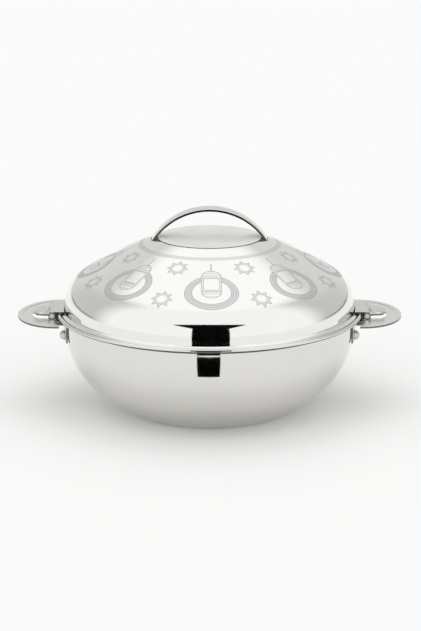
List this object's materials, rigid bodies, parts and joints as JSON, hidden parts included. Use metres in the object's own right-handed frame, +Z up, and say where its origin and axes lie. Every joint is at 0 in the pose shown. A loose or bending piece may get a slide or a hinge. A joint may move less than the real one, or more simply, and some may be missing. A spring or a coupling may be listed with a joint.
{
  "type": "insulated casserole",
  "caption": "Round double-walled insulated serving casserole with a lift-off domed lid, arched lid handle, ear handles and a sprung lock lever on each ear that hooks over the lid's edge.",
  "frame": {"origin": "under the middle of the base, on the surface it stands on", "axes": "+Z up, +X along the ear handles, -Y towards the front"},
  "size_m": [0.3762, 0.3, 0.1983],
  "materials": {
    "polished_steel": "mirror-polished stainless steel",
    "satin_steel": "satin stainless steel",
    "fastener_steel": "bright stainless steel",
    "rigid_foam": "rigid polyurethane foam",
    "plug_plastic": "moulded plastic"
  },
  "bodies": {
    "pot": {"outer_bowl": "polished_steel", "inner_bowl": "satin_steel", "bowl_insulation": "rigid_foam", "foam_filler_plug": "plug_plastic", "ear_plate_left": "satin_steel", "ear_plate_right": "satin_steel", "ear_bracket_left": "satin_steel", "ear_bracket_right": "satin_steel", "ear_rivets_left": "polished_steel", "ear_rivets_right": "polished_steel", "rivet_washers_left": "fastener_steel", "rivet_washers_right": "fastener_steel", "lock_pin_left": "fastener_steel", "lock_pin_right": "fastener_steel", "lock_spring_left": "fastener_steel", "lock_spring_right": "fastener_steel"},
    "lid": {"lid_shell": "polished_steel", "lid_liner": "satin_steel", "lid_insulation": "rigid_foam", "lid_top_disc": "satin_steel", "lid_handle": "polished_steel", "lid_handle_screws": "fastener_steel", "lid_handle_nuts": "fastener_steel"},
    "left_lock": {"lock_lever_left": "polished_steel"},
    "right_lock": {"lock_lever_right": "polished_steel"}
  },
  "joints": [
    {"name": "lid_lift", "type": "slide", "parent": "pot", "child": "lid", "axis": [0, 0, 1], "range_m": [0, 0.12]},
    {"name": "left_lock_pivot", "type": "hinge", "parent": "pot", "child": "left_lock", "pos_m": [-0.1532, 0, 0.0957], "axis": [0, -1, 0], "range_deg": [0, 35], "stiffness_Nm_per_rad": 0.12, "springref_deg": -28.65},
    {"name": "right_lock_pivot", "type": "hinge", "parent": "pot", "child": "right_lock", "pos_m": [0.1532, 0, 0.0957], "axis": [0, 1, 0], "range_deg": [0, 35], "stiffness_Nm_per_rad": 0.12, "springref_deg": -28.65}
  ]
}
